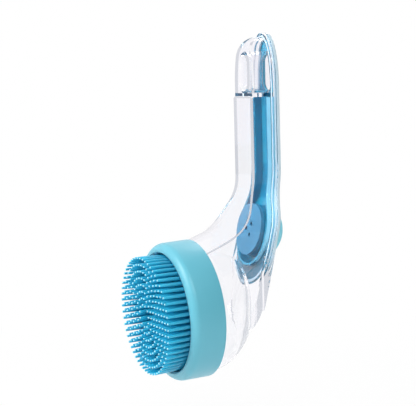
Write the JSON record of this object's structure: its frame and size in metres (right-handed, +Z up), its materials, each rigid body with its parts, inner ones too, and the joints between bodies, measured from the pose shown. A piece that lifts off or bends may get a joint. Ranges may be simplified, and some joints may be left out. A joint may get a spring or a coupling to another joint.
{
  "type": "pet bath brush",
  "caption": "Pet bath brush with a clear hollow handle that holds shampoo, a stepped squeeze button on its back and a round head of soft blue bristles that pulls off to fill it.",
  "frame": {"origin": "middle of the hanging slot, on the flat back face of the handle", "axes": "+Z up the handle towards its tip, +Y out of its back, where the button is, and -Y the way the bristles point; X = 0 is the mirror plane"},
  "size_m": [0.072, 0.0812, 0.1789],
  "materials": {
    "clear_plastic": "clear, polished",
    "blue_plastic": "polished",
    "ring_plastic": "satin",
    "blue_silicone": "soft silicone, satin",
    "button_silicone": "soft silicone, satin",
    "white_plastic": "satin",
    "seal_silicone": "translucent silicone"
  },
  "bodies": {
    "handle": {"clear_body": "clear_plastic", "back_cover": "blue_plastic", "cover_gasket": "seal_silicone", "button_bellows": "button_silicone", "button_retainer": "white_plastic", "well_floor": "blue_plastic"},
    "button": {"button_dome": "button_silicone"},
    "brush_head": {"head_ring": "ring_plastic", "support_plate": "white_plastic", "head_seal": "seal_silicone", "outlet_valve": "seal_silicone", "valve_clip": "white_plastic", "brush_pad": "blue_silicone"}
  },
  "joints": [
    {"name": "button_press", "type": "slide", "parent": "handle", "child": "button", "axis": [0, -0.9724, 0.2334], "range_m": [0, 0.005], "stiffness_N_per_m": 600, "deforming": ["button_bellows"]},
    {"name": "head_pull", "type": "slide", "parent": "handle", "child": "brush_head", "axis": [0, -0.9981, -0.061], "range_m": [0, 0.03]}
  ]
}
